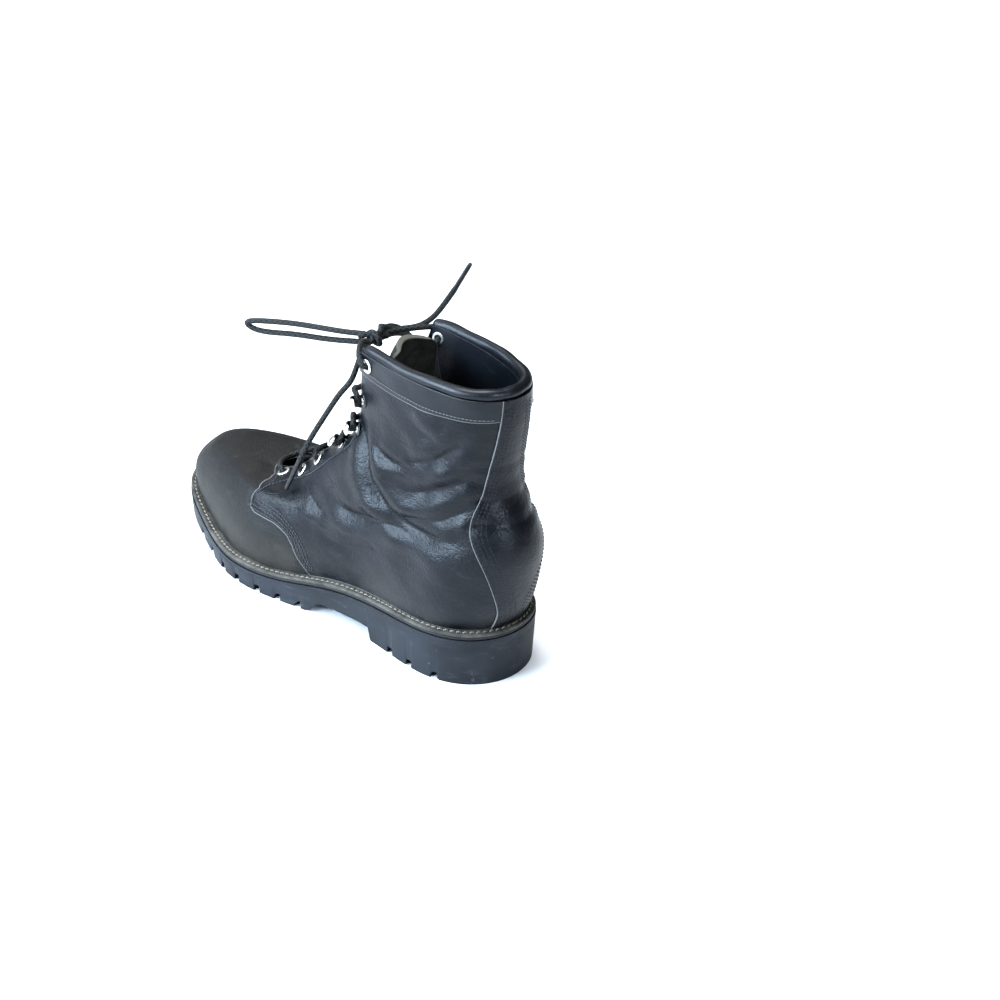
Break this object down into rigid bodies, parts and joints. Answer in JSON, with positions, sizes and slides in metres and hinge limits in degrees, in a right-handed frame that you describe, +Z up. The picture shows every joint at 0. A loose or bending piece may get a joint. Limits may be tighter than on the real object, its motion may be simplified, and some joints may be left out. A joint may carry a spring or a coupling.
{
  "type": "work boot",
  "caption": "Ankle-high laced work boot with steel toe, stitched welt, one-piece lugged sole, padded collar, eyelets below and speed hooks above, laces loosely tied.",
  "frame": {"origin": "on the ground under the middle of the boot's own box, laces' free ends left out", "axes": "+Y from toe to heel, +X to the outer side of the left foot, +Z up"},
  "size_m": [0.1101, 0.3124, 0.236],
  "materials": {
    "black_leather": "smooth black full-grain leather, satin",
    "vamp_leather": "black leather dulled by dust, fine pebble grain",
    "collar_leather": "soft black leather, satin",
    "lining_cloth": "dark non-woven lining cloth",
    "lining_leather": "dark lining leather, matt",
    "foam": "soft foam padding",
    "board": "pressed insole board",
    "cork": "granulated cork",
    "counter_board": "stiff leather board",
    "steel": "plain steel",
    "bright_metal": "polished nickel plate",
    "tread_rubber": "matt blue-grey black rubber",
    "black_rubber": "smooth black rubber",
    "welt_leather": "dusty grey-brown stitched welt",
    "footbed_foam": "cloth-faced foam footbed",
    "tongue_suede": "rough side leather, fuzzy grey-olive",
    "lace_cloth": "round black braid",
    "aglet_plastic": "hard black tip"
  },
  "bodies": {
    "boot": {"outsole": "tread_rubber", "midsole": "black_rubber", "welt": "welt_leather", "cork_filler": "cork", "shank": "steel", "insole_board": "board", "footbed": "footbed_foam", "vamp": "vamp_leather", "vamp_lining": "lining_cloth", "steel_toe_cap": "steel", "toe_cap_edge_strip": "black_rubber", "quarter_lining": "lining_leather", "collar_padding": "foam", "heel_counter": "counter_board", "backstay": "black_leather", "collar_bead": "collar_leather", "quarter_lateral": "black_leather", "collar_band_lateral": "collar_leather", "eyestay_backing_lateral": "lining_leather", "eyelet_lateral_1": "bright_metal", "eyelet_lateral_2": "bright_metal", "eyelet_lateral_3": "bright_metal", "eyelet_lateral_4": "bright_metal", "speed_hook_lateral_1": "bright_metal", "hook_rivet_lateral_1": "bright_metal", "speed_hook_lateral_2": "bright_metal", "hook_rivet_lateral_2": "bright_metal", "speed_hook_lateral_3": "bright_metal", "hook_rivet_lateral_3": "bright_metal", "quarter_medial": "black_leather", "collar_band_medial": "collar_leather", "eyestay_backing_medial": "lining_leather", "eyelet_medial_1": "bright_metal", "eyelet_medial_2": "bright_metal", "eyelet_medial_3": "bright_metal", "eyelet_medial_4": "bright_metal", "speed_hook_medial_1": "bright_metal", "hook_rivet_medial_1": "bright_metal", "speed_hook_medial_2": "bright_metal", "hook_rivet_medial_2": "bright_metal", "speed_hook_medial_3": "bright_metal", "hook_rivet_medial_3": "bright_metal", "lace_run_first": "lace_cloth", "lace_run_second": "lace_cloth", "lace_knot": "lace_cloth", "lace_long_loop": "lace_cloth", "lace_short_loop": "lace_cloth", "lace_hanging_end": "lace_cloth", "lace_raised_end": "lace_cloth", "aglet_hanging": "aglet_plastic", "aglet_raised": "aglet_plastic"},
    "tongue": {"tongue": "tongue_suede"}
  },
  "joints": [
    {"name": "tongue_fold", "type": "hinge", "parent": "boot", "child": "tongue", "pos_m": [-0.001, -0.076, 0.0567], "axis": [-1, 0, 0], "range_deg": [0, 14]}
  ]
}
